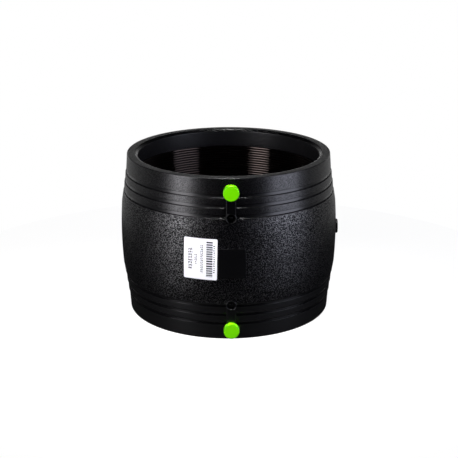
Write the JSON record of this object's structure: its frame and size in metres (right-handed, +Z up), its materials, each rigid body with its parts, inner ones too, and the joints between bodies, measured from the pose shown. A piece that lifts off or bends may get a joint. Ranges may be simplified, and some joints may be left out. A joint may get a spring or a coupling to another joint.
{
  "type": "electrofusion coupler",
  "caption": "Moulded polyethylene pipe coupler with a built-in heating wire, capped weld terminals, fusion indicators and two plain sockets.",
  "frame": {"origin": "centre of the bottom end face, on the axis of the bore", "axes": "+Z up along the bore to the upper socket's mouth, -Y out through the two terminals, +X through the gate mark"},
  "size_m": [0.244, 0.2454, 0.178],
  "materials": {
    "moulded_polyethylene": "injection moulded, spark-eroded grain on the barrel, fine grain on the bands",
    "coated_wire": "smooth clear-black polymer coat over a copper core",
    "cap_plastic": "soft satin green",
    "pin_brass": "turned brass",
    "label_paper": "coated self-adhesive paper with plain dark bars"
  },
  "bodies": {
    "root": {"coupler_body": "moulded_polyethylene", "heating_wire": "coated_wire", "lower_terminal_pin": "pin_brass", "upper_terminal_pin": "pin_brass", "lower_terminal_cap": "cap_plastic", "upper_terminal_cap": "cap_plastic", "lower_fusion_indicator": "moulded_polyethylene", "upper_fusion_indicator": "moulded_polyethylene", "label": "label_paper"}
  },
  "joints": []
}
